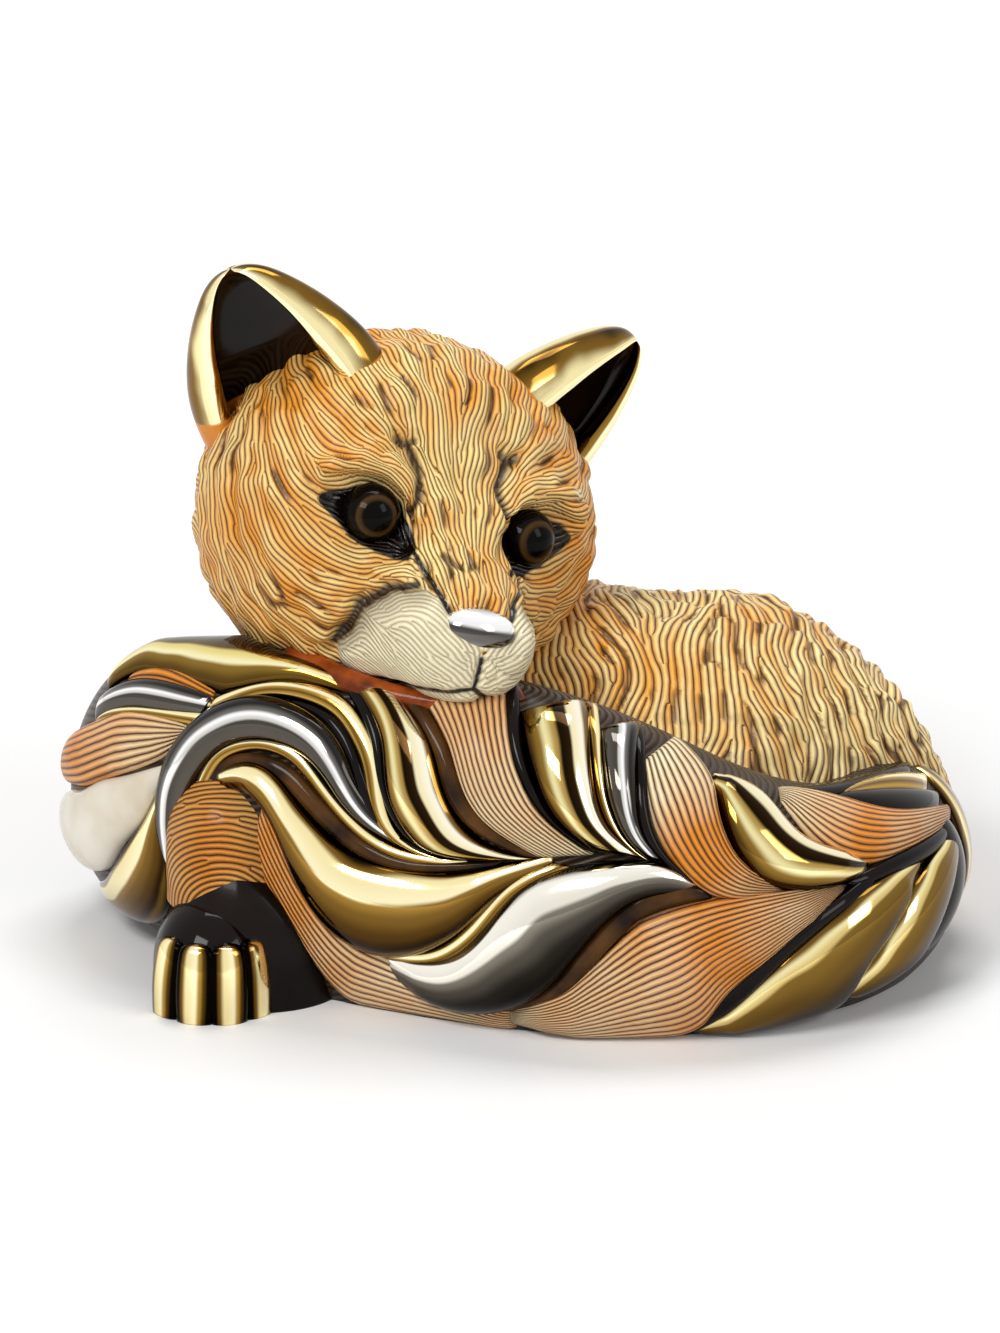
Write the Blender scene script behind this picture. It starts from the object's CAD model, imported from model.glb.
# Curled fox kit in glazed stoneware: carved fur, ivory muzzle, gold and platinum lustre locks
import math
import bpy
import numpy as np
from mathutils import Matrix, Vector
from mathutils.bvhtree import BVHTree


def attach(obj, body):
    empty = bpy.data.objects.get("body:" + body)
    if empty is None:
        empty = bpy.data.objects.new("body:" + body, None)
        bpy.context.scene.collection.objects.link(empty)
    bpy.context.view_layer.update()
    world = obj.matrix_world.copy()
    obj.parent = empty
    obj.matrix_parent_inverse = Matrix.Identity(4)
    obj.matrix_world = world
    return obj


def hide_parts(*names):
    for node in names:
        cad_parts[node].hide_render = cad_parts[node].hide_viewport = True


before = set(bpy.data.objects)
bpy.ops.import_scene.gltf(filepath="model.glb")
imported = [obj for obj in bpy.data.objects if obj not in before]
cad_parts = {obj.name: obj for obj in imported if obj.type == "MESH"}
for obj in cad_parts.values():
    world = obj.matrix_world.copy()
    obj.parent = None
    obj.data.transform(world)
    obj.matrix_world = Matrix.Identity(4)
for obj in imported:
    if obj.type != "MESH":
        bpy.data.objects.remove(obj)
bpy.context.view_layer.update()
mm = 0.001
fullTurn = 2 * math.pi
scene = bpy.context.scene
scene.view_settings.view_transform = "Standard"
print("frame loaded:", len(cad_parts), "nodes")


def hexColour(code):
    channels = [int(code[i:i + 2], 16) / 255 for i in (1, 3, 5)]
    return tuple(c / 12.92 if c <= 0.04045 else ((c + 0.055) / 1.055) ** 2.4 for c in channels) + (1.0,)


def addNode(tree, kind, inputs=(), stops=(), fade="LINEAR", **settings):
    # one node with its settings, its links or values, and the colour stops if it is a ramp
    node = tree.nodes.new(kind)
    for key, value in settings.items():
        setattr(node, key, value)
    if stops:
        node.color_ramp.interpolation = fade
        while len(node.color_ramp.elements) < len(stops):
            node.color_ramp.elements.new(0.5)
        for element, (place, code) in zip(node.color_ramp.elements, stops):
            element.position = place
            element.color = hexColour(code)
    for key, value in inputs.items() if isinstance(inputs, dict) else enumerate(inputs):
        if isinstance(value, bpy.types.Node):
            value = [output for output in value.outputs if output.enabled][0]
        if isinstance(value, bpy.types.NodeSocket):
            tree.links.new(value, node.inputs[key])
        else:
            node.inputs[key].default_value = hexColour(value) if isinstance(value, str) else value
    return node


def startMaterial(name, constants):
    material = bpy.data.materials.new(name)
    material.use_nodes = True
    surface = material.node_tree.nodes["Principled BSDF"]
    for key, value in constants.items():
        surface.inputs[key].default_value = hexColour(value) if isinstance(value, str) else value
    return material, material.node_tree, surface


# Numbers that the solids share, in millimetres

trunk = dict(halfLength=47.0, halfDepth=26.0, height=42.5, centre=(9.5, 11.0))
tail = dict(halfLength=47.0, reach=20.5, halfWidth=15.0, height=43.5)
head = dict(
    halfWidth=25.3, halfHeight=23.6, halfDepth=23.0, centre=(-14.9, 7.0, 53.7),
    yaw=24.7, pitch=-6.0, roll=16.4)
# The drawing that the locks are laid out on, as the photograph shows it: seen from tilt degrees above
drawing = dict(tilt=20.0, distance=1200.0, aim=(-1.3, 34.3), halfLength=57.5, height=43.0)
photo = dict(middleColumn=510, baseRow=938, pixel=0.12637)

# Rows are the same stations as the solids have, with the ends rounded off
trunkRows = (
    (-0.955, 0.03, 0.38, 0.30), (-0.94, 0.16, 0.46, 0.30), (-0.86, 0.42, 0.62, 0.30),
    (-0.68, 0.72, 0.86, 0.36), (-0.40, 0.92, 0.97, 0.38), (0.0, 0.98, 1.0, 0.38),
    (0.20, 1.0, 0.965, 0.38), (0.42, 1.0, 0.965, 0.38), (0.58, 0.85, 0.91, 0.35),
    (0.74, 0.64, 0.79, 0.31), (0.85, 0.46, 0.67, 0.26), (0.93, 0.31, 0.54, 0.22),
    (0.98, 0.16, 0.40, 0.20), (0.985, 0.03, 0.23, 0.20),
)
tailRows = (
    (0.64, 1.10, 60, 0.40, 0.37, 0.18), (0.92, 0.58, 22, 0.68, 0.50, 0.22),
    (0.96, -0.10, -12, 0.78, 0.55, 0.24), (0.86, -0.60, -42, 0.86, 0.58, 0.25),
    (0.64, -0.93, -68, 0.94, 0.68, 0.28), (0.36, -1.02, -86, 1.0, 0.83, 0.31),
    (0.04, -0.92, -95, 0.95, 0.94, 0.33), (-0.29, -0.66, -108, 0.88, 0.97, 0.36),
    (-0.59, -0.34, -122, 0.86, 0.97, 0.42), (-0.84, 0.12, -150, 0.86, 0.90, 0.44),
    (-0.93, 0.56, -176, 0.78, 0.78, 0.38), (-0.86, 1.00, -208, 0.50, 0.52, 0.24),
)
headRows = (
    (0.985, 0.02, 0.02, 0.0), (0.975, 0.16, 0.16, 0.0), (0.93, 0.34, 0.33, 0.0), (0.84, 0.53, 0.52, 0.0),
    (0.60, 0.80, 0.80, 0.0), (0.22, 0.98, 0.98, 0.0), (-0.16, 1.02, 1.0, 0.0), (-0.44, 0.95, 0.90, -0.02),
    (-0.62, 0.80, 0.74, -0.08), (-0.74, 0.62, 0.58, -0.17), (-0.88, 0.46, 0.45, -0.27),
    (-1.08, 0.37, 0.37, -0.34), (-1.27, 0.28, 0.28, -0.39), (-1.36, 0.16, 0.17, -0.41),
    (-1.375, 0.02, 0.02, -0.41),
)


def smoothRows(rows, count):
    # a natural cubic through the rows, taken at evenly spread places
    rows = np.array(rows, float)
    last = len(rows) - 1
    system, bend = np.eye(len(rows)), np.zeros_like(rows)
    for i in range(1, last):
        system[i, i - 1:i + 2] = 1, 4, 1
        bend[i] = 6 * (rows[i + 1] - 2 * rows[i] + rows[i - 1])
    bend = np.linalg.solve(system, bend)
    at = np.linspace(0, last, count)
    i = np.minimum(at.astype(int), last - 1)
    t = (at - i)[:, None]
    straight = (1 - t) * rows[i] + t * rows[i + 1]
    return straight + ((1 - t) ** 3 - (1 - t)) * bend[i] / 6 + (t ** 3 - t) * bend[i + 1] / 6


def gridFaces(rows, columns, closed=True):
    across = columns if closed else columns - 1
    i, j = np.meshgrid(np.arange(rows - 1), np.arange(across), indexing="ij")
    k = (j + 1) % columns
    corners = (i * columns + j, i * columns + k, (i + 1) * columns + k, (i + 1) * columns + j)
    return np.stack(corners, -1).reshape(-1, 4)


def closedMesh(name, grid):
    # a tube of rings with a pole at each end, turned so that its faces look outwards
    rows, columns = grid.shape[:2]
    points = np.concatenate([grid.reshape(-1, 3), grid[0].mean(0)[None], grid[-1].mean(0)[None]])
    quads = gridFaces(rows, columns).tolist()
    first, last = rows * columns, rows * columns + 1
    ring = (rows - 1) * columns
    for j in range(columns):
        k = (j + 1) % columns
        quads += [[first, k, j], [last, ring + j, ring + k]]
    return solidMesh(name, points, quads)


def solidMesh(name, points, faces):
    mesh = bpy.data.meshes.new(name)
    mesh.from_pydata((points * mm).tolist(), [], faces)
    mesh.update()
    if sum(polygon.center.dot(polygon.normal) * polygon.area for polygon in mesh.polygons) < 0:
        mesh.flip_normals()  # faces look outwards
    mesh.shade_smooth()
    mesh.update()
    return mesh


def placePiece(mesh, name, nodes, material):
    piece = bpy.data.objects.new(name, mesh)
    scene.collection.objects.link(piece)
    mesh.materials.append(material)
    if nodes:
        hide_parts(*nodes)
    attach(piece, "root")
    return piece


def turnMatrix(axis, degrees):
    return np.array(Matrix.Rotation(math.radians(degrees), 3, axis))


headTurn = turnMatrix("Z", head["yaw"]) @ turnMatrix("X", head["pitch"]) @ turnMatrix("Y", head["roll"])


def onHead(local):
    return np.asarray(local) @ headTurn.T + np.array(head["centre"])


def meshArrays(mesh):
    points = np.zeros(len(mesh.vertices) * 3)
    mesh.vertices.foreach_get("co", points)
    normals = np.zeros(len(mesh.vertices) * 3)
    mesh.vertices.foreach_get("normal", normals)
    return points.reshape(-1, 3) / mm, normals.reshape(-1, 3)


def writeValues(mesh, name, values, domain="POINT"):
    mesh.attributes.new(name, "FLOAT", domain).data.foreach_set("value", np.asarray(values, np.float32))


def combPhase(mesh, directions, pitch, rounds, seed):
    # evenly spaced carved lines along a field of directions: each point takes the phase that its
    # neighbours expect of it, so the lines run parallel, and fork where the field spreads
    points, normals = meshArrays(mesh)
    directions = directions - normals * (directions * normals).sum(1, keepdims=True)
    directions /= np.maximum(np.linalg.norm(directions, axis=1, keepdims=True), 1e-6)
    across = np.cross(normals, directions) * (fullTurn / pitch)
    edges = np.zeros(len(mesh.edges) * 2, np.int64)
    mesh.edges.foreach_get("vertices", edges)
    one, two = edges.reshape(-1, 2).T
    turn = ((across[one] + across[two]) / 2 * (points[two] - points[one])).sum(1)
    spin = np.exp(1j * turn)
    count = len(points)
    phase = np.exp(2j * math.pi * np.random.default_rng(seed).random(count))
    for _ in range(rounds):
        ahead, back = phase[one] * spin, phase[two] / spin
        total = phase * 0.5
        total += np.bincount(two, ahead.real, count) + 1j * np.bincount(two, ahead.imag, count)
        total += np.bincount(one, back.real, count) + 1j * np.bincount(one, back.imag, count)
        phase = total / np.maximum(np.abs(total), 1e-9)
    return np.angle(phase), across, points


def combFur(mesh, directions, pitch, rounds, seed):
    # the lines as a count that runs on across each face, so that the glaze reads it without a jump
    angle, across, points = combPhase(mesh, directions, pitch, rounds, seed)
    corners = np.zeros(len(mesh.loops), np.int64)
    mesh.loops.foreach_get("vertex_index", corners)
    sizes = np.zeros(len(mesh.polygons), np.int64)
    mesh.polygons.foreach_get("loop_total", sizes)
    first = corners[np.repeat(np.cumsum(sizes) - sizes, sizes)]
    between = (across[first] + across[corners]) / 2
    expected = angle[first] + (between * (points[corners] - points[first])).sum(1)
    own = angle[corners]
    unwound = own + fullTurn * np.round((expected - own) / fullTurn)
    writeValues(mesh, "furLine", unwound / fullTurn, "CORNER")


def raiseTufts(mesh, directions, rounds, pitch, lift, share, seed):
    # wider bands along the same way, parted here and there by gouges, raised off the body
    angle, _, points = combPhase(mesh, directions, pitch, rounds, seed)
    _, normals = meshArrays(mesh)
    band = 0.5 + 0.5 * np.cos(angle)
    broken = smoothStep(-0.35, 0.55, wander(points, pitch * 2.6, seed + 1) + share)
    gap = smoothStep(0.16, 0.02, band) * broken
    crest = np.sqrt(band) * (0.55 + 0.45 * broken) + 0.25 * wander(points, pitch * 1.5, seed + 2)
    points = points + normals * (lift * (crest - 0.8))[:, None]  # most of it cut in, to keep the outline
    points[:, 2] = np.maximum(points[:, 2], 0)
    mesh.vertices.foreach_set("co", (points * mm).ravel())
    mesh.update()
    writeValues(mesh, "tuftGap", gap)
    return np.cos(angle + 1.1) * (0.6 + 0.4 * broken)


def smoothStep(low, high, values):
    t = np.clip((values - low) / (high - low), 0, 1)
    return t * t * (3 - 2 * t)


def lineDistance(points, line):
    # nearest distance from flat points to a bent line
    best = np.full(len(points), 1e9)
    for a, b in zip(np.array(line[:-1], float), np.array(line[1:], float)):
        along = np.clip(((points - a) @ (b - a)) / max((b - a) @ (b - a), 1e-9), 0, 1)
        best = np.minimum(best, np.linalg.norm(points - a - along[:, None] * (b - a), axis=1))
    return best


def insideDistance(points, outline):
    # distance to a closed outline, negative inside it
    distance = lineDistance(points, list(outline) + [outline[0]])
    inside = np.zeros(len(points), bool)
    x, y = points.T
    for (ax, ay), (bx, by) in zip(outline, list(outline[1:]) + [outline[0]]):
        inside ^= ((ay > y) != (by > y)) & (x < (bx - ax) * (y - ay) / (by - ay + 1e-12) + ax)
    return np.where(inside, -distance, distance)


def wander(points, size, seed, count=14):
    # smooth drifting values from a few random waves, about a size long
    rng = np.random.default_rng(seed)
    total = np.zeros(len(points))
    for _ in range(count):
        wave = rng.normal(size=3)
        wave *= fullTurn / size / np.linalg.norm(wave) * rng.uniform(0.6, 1.5)
        total += np.sin(points @ wave + rng.uniform(0, fullTurn))
    return total / math.sqrt(count / 2)


# Materials

def carvedFurGlaze(name, ridge, middle, groove, ground, pitch, creamShare):
    # glazed stoneware with hand-carved lines: the glaze pools brown in the grooves and between the
    # tufts and breaks cream on the ridges, and a satin gloss shows the carving
    material, tree, surface = startMaterial(
        name, {"Roughness": 0.40, "Specular IOR Level": 0.28, "Coat Weight": 0.10, "Coat Roughness": 0.12})
    line = addNode(tree, "ShaderNodeAttribute", attribute_name="furLine").outputs["Fac"]
    gap = addNode(tree, "ShaderNodeAttribute", attribute_name="tuftGap").outputs["Fac"]
    tone = addNode(tree, "ShaderNodeAttribute", attribute_name="glazeTone").outputs["Fac"]
    place = addNode(tree, "ShaderNodeTexCoord").outputs["Object"]
    # ridges across the line, wavering a little as a hand does
    waver = addNode(tree, "ShaderNodeTexNoise", {"Vector": place, "Scale": 420.0, "Detail": 2.0})
    bentLine = addNode(tree, "ShaderNodeMath", (waver, 0.22, line), operation="MULTIPLY_ADD")
    angle = addNode(tree, "ShaderNodeMath", (bentLine, fullTurn), operation="MULTIPLY")
    wave = addNode(tree, "ShaderNodeMath", (angle,), operation="SINE")
    ridged = addNode(tree, "ShaderNodeMath", (wave, 0.5, 0.5), operation="MULTIPLY_ADD")
    height = addNode(tree, "ShaderNodeMath", (ridged, 0.5), operation="POWER")
    # ridge colours from cream to orange, in patches and by the tone that the piece carries
    patch = addNode(tree, "ShaderNodeTexNoise", {"Vector": place, "Scale": 110.0, "Detail": 2.0})
    spread = addNode(tree, "ShaderNodeMath", (patch, 2.0, -1.0), operation="MULTIPLY_ADD")
    warmth = addNode(tree, "ShaderNodeMath", (spread, tone), operation="SUBTRACT")
    warm = addNode(tree, "ShaderNodeMapRange", {"Value": warmth, "From Min": -0.9, "From Max": 0.9})
    mix = dict(data_type="RGBA")
    ridgeColour = addNode(tree, "ShaderNodeMix", {"Factor": warm, "A": ridge, "B": middle}, **mix)
    cover = addNode(tree, "ShaderNodeMath", (height, creamShare), operation="POWER")
    colour = addNode(tree, "ShaderNodeMix", {"Factor": cover, "A": groove, "B": ridgeColour}, **mix)
    # the brown that pools in the grooves and in the gouges between tufts
    deep = addNode(
        tree, "ShaderNodeMapRange", {"Value": height, "From Min": 0.42, "From Max": 0.05, "To Max": 0.9})
    colour = addNode(tree, "ShaderNodeMix", {"Factor": deep, "A": colour, "B": ground}, **mix)
    gouged = addNode(tree, "ShaderNodeMath", (gap, 0.85), operation="MULTIPLY")
    colour = addNode(tree, "ShaderNodeMix", {"Factor": gouged, "A": colour, "B": ground}, **mix)
    tree.links.new(colour.outputs["Result"], surface.inputs["Base Color"])
    relief = addNode(tree, "ShaderNodeMath", (height, gap), operation="SUBTRACT")
    bump = addNode(tree, "ShaderNodeBump", {"Height": relief, "Strength": 0.9, "Distance": pitch * 0.4 * mm})
    tree.links.new(bump.outputs["Normal"], surface.inputs["Normal"])
    return material, colour, height


def firedLustre(name, roughness, streak, stops):
    # fired metal lustre over gloss glaze: mirror-like on the backs, thin and brown in the grooves,
    # with the pale and the olive bands that a bright room leaves along a rounded lock
    material, tree, surface = startMaterial(name, {"Metallic": 1.0, "Roughness": roughness})
    across = addNode(tree, "ShaderNodeAttribute", attribute_name="lockAcross").outputs["Fac"]
    place = addNode(tree, "ShaderNodeTexCoord").outputs["Object"]
    drift = addNode(tree, "ShaderNodeTexNoise", {"Vector": place, "Scale": 90.0, "Detail": 1.0})
    shift = addNode(tree, "ShaderNodeMath", (drift, streak, -streak / 2), operation="MULTIPLY_ADD")
    share = addNode(tree, "ShaderNodeMath", (across, 0.5, 0.5), operation="MULTIPLY_ADD")
    at = addNode(tree, "ShaderNodeMath", (share, shift), operation="ADD")
    colour = addNode(tree, "ShaderNodeValToRGB", {"Fac": at}, stops, "EASE")
    tree.links.new(colour.outputs["Color"], surface.inputs["Base Color"])
    fine = addNode(tree, "ShaderNodeTexNoise", {"Vector": place, "Scale": 260.0, "Detail": 2.0})
    bump = addNode(tree, "ShaderNodeBump", {"Height": fine, "Strength": 0.25, "Distance": 0.12 * mm})
    tree.links.new(bump.outputs["Normal"], surface.inputs["Normal"])
    return material


def glossGlaze(name, light, dark, roughness, scale):
    # thick gloss glaze, darker where it has run together, under its own glassy skin
    material, tree, surface = startMaterial(name, {
        "Roughness": roughness, "IOR": 1.52, "Specular IOR Level": 0.10, "Coat Weight": 0.04,
        "Coat Roughness": 0.03})
    place = addNode(tree, "ShaderNodeTexCoord").outputs["Object"]
    cloud = addNode(tree, "ShaderNodeTexNoise", {"Vector": place, "Scale": scale, "Detail": 3.0})
    colour = addNode(tree, "ShaderNodeValToRGB", {"Fac": cloud}, ((0.35, dark), (0.65, light)))
    tree.links.new(colour.outputs["Color"], surface.inputs["Base Color"])
    return material


edgeBrown = "#150C05"
toeBlack = "#090604"
# bands of the deep gold locks and of the ears: a wide pale band on the upper side, olive below
deepBands = (
    (0.0, edgeBrown), (0.06, "#7A5A22"), (0.12, "#F6E6AC"), (0.33, "#FFF3C4"), (0.39, "#937030"),
    (0.52, "#755724"), (0.70, "#573D16"), (0.84, "#2B1C09"), (0.91, "#6E5222"), (1.0, edgeBrown))
# gold lustre on narrow ropes: one pale stripe
goldLustre = firedLustre("goldLustre", 0.10, 0.16, (
    (0.0, edgeBrown), (0.10, "#6B4C1C"), (0.22, "#F3E2A4"), (0.40, "#FFF3C4"), (0.50, "#A98436"),
    (0.62, "#6E5020"), (0.78, "#B8944A"), (0.90, "#5A3E16"), (1.0, edgeBrown)))
goldDeepLustre = firedLustre("goldLustreDeep", 0.09, 0.22, deepBands)
# gold lustre on full leaves: a dark pool between two pale bands
goldPoolLustre = firedLustre("goldLustrePooled", 0.08, 0.26, (
    (0.0, edgeBrown), (0.07, "#7A5A22"), (0.14, "#FFF8E0"), (0.30, "#F7EBBE"), (0.36, "#2A1B0A"),
    (0.50, "#1B1208"), (0.57, "#B08F4A"), (0.70, "#EFE2A6"), (0.80, "#8A6A2C"), (0.92, "#4A3412"),
    (1.0, edgeBrown)))
# gold lustre turned away from the light: olive and brown with a narrow gleam
goldShadeLustre = firedLustre("goldLustreShaded", 0.08, 0.26, (
    (0.0, edgeBrown), (0.08, "#6E5222"), (0.14, "#F2E3A8"), (0.22, "#D9C07A"), (0.28, "#7C6029"),
    (0.55, "#6A5022"), (0.82, "#3A290F"), (0.93, "#5A431A"), (1.0, edgeBrown)))
# gold lustre on the crest of the tail's tip: dark above, with the gleam in the middle
goldCrestLustre = firedLustre("goldLustreCrested", 0.08, 0.26, (
    (0.0, edgeBrown), (0.14, "#2E210C"), (0.30, "#5A451A"), (0.38, "#E9D683"), (0.54, "#FBF2BE"),
    (0.62, "#8A6C2C"), (0.84, "#5A431A"), (1.0, edgeBrown)))
# gold lustre on the toes, with the black glaze of the paw left between them
toeLustre = firedLustre("goldLustreToes", 0.10, 0.10, (
    (0.0, toeBlack), (0.16, toeBlack), (0.24, "#6B4C1C"), (0.36, "#F3E2A4"), (0.56, "#FFF3C4"),
    (0.66, "#A98436"), (0.76, "#4A3412"), (0.84, toeBlack), (1.0, toeBlack)))
# platinum lustre on a full leaf: white above, nearly black below
platinumDeepLustre = firedLustre("platinumLustreDeep", 0.09, 0.22, (
    (0.0, "#15110D"), (0.06, "#5A544C"), (0.12, "#F6F2E6"), (0.33, "#E9E4D6"), (0.39, "#7C766B"),
    (0.55, "#4F4A42"), (0.75, "#28241F"), (0.92, "#15120F"), (1.0, "#0E0B09")))
# platinum lustre on the arch: dark, with one white gleam along its middle
platinumArchLustre = firedLustre("platinumLustreArched", 0.08, 0.16, (
    (0.0, "#171310"), (0.10, "#3A3835"), (0.26, "#2C2A28"), (0.38, "#6F6C67"), (0.46, "#FFFFFF"),
    (0.55, "#D8D5CE"), (0.61, "#4A4640"), (0.85, "#5A554E"), (1.0, "#15110D")))
# platinum lustre on the nose: white on top, with a grey band under it
platinumLustre = firedLustre("platinumLustre", 0.08, 0.06, (
    (0.0, "#4A4643"), (0.12, "#A9A7A5"), (0.24, "#FFFFFF"), (0.38, "#F4F4F4"), (0.46, "#4A4643"),
    (0.60, "#6B6764"), (0.78, "#A5A29E"), (0.9, "#3A3633"), (1.0, "#171310")))
blackGlaze = glossGlaze("blackGlaze", "#140B06", "#060302", 0.07, 120.0)  # wet black-brown gloss
sleeveGlaze = glossGlaze("blackSatinGlaze", "#140B06", "#060302", 0.32, 120.0)  # the same, dulled
amberGlaze = glossGlaze("amberGlaze", "#B4571E", "#6A2C0E", 0.08, 260.0)  # red-brown, run thick
bronzeGlaze = glossGlaze("bronzeGlaze", "#5A3A17", "#1B0F07", 0.12, 140.0)  # mottled dark bronze
ivoryGlaze = glossGlaze("ivoryGlaze", "#F1EBDD", "#DDD0B8", 0.10, 110.0)  # warm white, clouded
furPitch = 0.95  # the carved lines of the body are about a millimetre apart


# Trunk: carved flanks with tufts

trunkLook = dict(rings=250, spokes=340, rounds=320, seed=3, slant=0.55, drift=0.35)
trunkTufts = dict(pitch=3.3, lift=0.75, share=0.15, seed=61)
trunkTone = dict(tufts=0.7, belly=0.5, neck=1.6, neckPlace=(8, 26), neckSpread=(9, 8))


def trunkGrid():
    rows = smoothRows(trunkRows, trunkLook["rings"])
    turn = np.linspace(0, fullTurn, trunkLook["spokes"], endpoint=False)
    grid = np.zeros((len(rows), len(turn), 3))
    middle = rows[:, 3:4] * trunk["height"]
    grid[..., 0] = trunk["centre"][0] + rows[:, 0:1] * trunk["halfLength"]
    grid[..., 1] = trunk["centre"][1] + np.maximum(rows[:, 1:2], 0.01) * trunk["halfDepth"] * np.cos(turn)
    grid[..., 2] = np.maximum(middle + (rows[:, 2:3] * trunk["height"] - middle) * np.sin(turn), 0)
    return grid


def trunkPiece():
    mesh = closedMesh("trunkFur", trunkGrid())
    points, normals = meshArrays(mesh)
    sideways = (points[:, 0] - trunk["centre"][0]) / trunk["halfLength"]
    slant = trunkLook["slant"] * sideways + trunkLook["drift"] * wander(points, 16, 5)
    comb = np.stack([slant, -normals[:, 2], normals[:, 1]], 1)
    combFur(mesh, comb, furPitch, trunkLook["rounds"], trunkLook["seed"])
    bands = raiseTufts(mesh, comb, trunkLook["rounds"], **trunkTufts)
    fromNeck = (points[:, [0, 2]] - trunkTone["neckPlace"]) / trunkTone["neckSpread"]
    neck = np.exp(-(fromNeck ** 2).sum(1))
    belly = smoothStep(40, 30, points[:, 2]) * smoothStep(12, 22, points[:, 2])
    tone = trunkTone["tufts"] * bands + trunkTone["belly"] * belly - trunkTone["neck"] * neck
    writeValues(mesh, "glazeTone", 0.2 * wander(points, 14, 8) + tone)
    glaze = carvedFurGlaze("carvedTrunkGlaze", "#FFE9A4", "#F2A636", "#A05A14", "#3E1F08", furPitch, 0.7)[0]
    placePiece(mesh, "trunk_carved", ["trunk"], glaze)


trunkPiece()
print("trunk carved")


# Head

headLook = dict(rings=240, spokes=400, rounds=420, seed=11, pitch=0.68, guideReach=3.6, drift=0.12)
headTufts = dict(pitch=3.8, lift=0.85, share=-0.5, seed=71)
headTone = dict(ground=0.15, bridge=0.8, bridgeSpread=9, sides=0.5, tufts=0.75)
eyeLook = dict(spot=(10.8, 2.4), deep=-16.1, radius=3.7, gaze=(0.16, -1.0, 0.03), pupilSpread=1.3)
# how far the face stands out or is cut back at each feature, and how wide that runs
faceLook = dict(
    brow=2.7, browWidth=2.3, hollow=2.7, hollowWidth=4.7, cheek=0.9, cheekWidth=7.0, cheekPlace=(17.0, -8.0),
    muzzle=1.7, lip=0.4, ink=0.5, inkWidth=0.45, crease=1.3, creaseWidth=0.75, jaw=1.0)
# half-face outlines and lines as (sideways, up) in millimetres from the middle of the head
almond = (
    (17.6, 3.0), (15.6, 4.4), (13.2, 5.5), (10.6, 5.6), (8.4, 4.5), (7.1, 2.2), (6.9, -0.2), (7.9, -1.6),
    (11.0, -1.9), (13.8, -0.8), (16.0, 1.4))
inkLines = (
    (((7.2, -0.6), (5.7, -4.0), (3.9, -6.8)), 0.22),
    (((0.0, -10.6), (0.0, -14.2), (2.6, -15.4), (6.0, -16.4)), 0.24))
browLines = (
    ((6.9, 3.6), (5.7, 5.8), (5.6, 8.4), (6.7, 10.8), (7.4, 12.0)),
    ((6.5, 12.6), (7.6, 12.0), (8.8, 12.4)))
browRidge = ((7.6, 5.4), (9.4, 7.4), (12.8, 7.8), (16.5, 6.0))
muzzleLine = ((7.4, -4.4), (9.8, -5.9), (11.5, -9.0), (11.4, -12.4), (11.8, -15.0))
muzzle = (
    (7.0, -4.6), (9.7, -6.2), (11.2, -9.0), (11.1, -12.4), (11.4, -15.0), (9.0, -17.5), (3.0, -20.5),
    (-3.0, -21.0), (-3.0, -7.4), (0.0, -7.0), (3.9, -7.2), (5.4, -4.8))
# each is a place on the half face and the way that the fur lies there
furGuides = (
    (0, -4, 0, 1), (0, 2, 0, 1), (0, 8, 0.02, 1), (0, 15, 0.08, 1), (0, 22, 0.05, 1), (4, 10, 0.12, 1),
    (5, 16, 0.3, 1), (9, 19, 0.35, 1), (9.5, 14.5, 0.7, 0.65), (13, 9, 1, -0.2), (17, 7.5, 1, 0.05),
    (20.5, 8.5, 0.8, 0.7), (23, 12, 0.2, 1), (17, 13, 0.75, 0.65), (14, 16, 0.5, 0.85), (20, 16, 0.4, 1),
    (12, -5, 1, -0.35), (15.5, -5.5, 1, 0.0), (19.5, -4, 0.85, 0.6), (19, 1.5, 1, 0.4), (23, 0, 0.3, 1),
    (25, 6, 0, 1), (13.5, -10, 0.8, -0.6), (17, -10.5, 1, 0.3), (21, -8, 0.6, 0.85), (14, -16, 1, 0.1),
    (18, -16, 0.8, 0.6), (6, -10, 0.85, 0.45), (3, -3, 0.1, 1), (7, 6, 0.9, 0.5),
)


def headGrid():
    rows = smoothRows(headRows, headLook["rings"])
    turn = np.linspace(0, fullTurn, headLook["spokes"], endpoint=False)
    grid = np.zeros((len(rows), len(turn), 3))
    grid[..., 0] = np.maximum(rows[:, 1:2], 0.01) * head["halfWidth"] * np.cos(turn)
    grid[..., 1] = rows[:, 0:1] * head["halfDepth"]
    grid[..., 2] = head["halfHeight"] * (rows[:, 3:4] + np.maximum(rows[:, 2:3], 0.01) * np.sin(turn))
    return grid


def bell(distance, width):
    return np.exp(-(distance / width) ** 2)


def faceDistances(local):
    # how far each point lies from the lines and outlines of the face, seen from straight in front
    flat = np.stack([np.abs(local[:, 0]), local[:, 2]], 1)
    facing = smoothStep(-8.0, -13.0, local[:, 1])
    almondDistance = insideDistance(flat, almond)
    inkDistance = almondDistance - 0.1
    for line, width in inkLines:
        inkDistance = np.minimum(inkDistance, lineDistance(flat, line) - width)
    muzzleEdge = lineDistance(flat, muzzleLine)
    browCrease = np.minimum(lineDistance(flat, browLines[0]), lineDistance(flat, browLines[1]))
    distances = dict(
        inkDistance=inkDistance, ivoryDistance=insideDistance(flat, muzzle),
        creaseDistance=np.minimum(muzzleEdge - 0.1, browCrease), muzzleEdge=muzzleEdge)
    return flat, facing, almondDistance, distances


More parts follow.
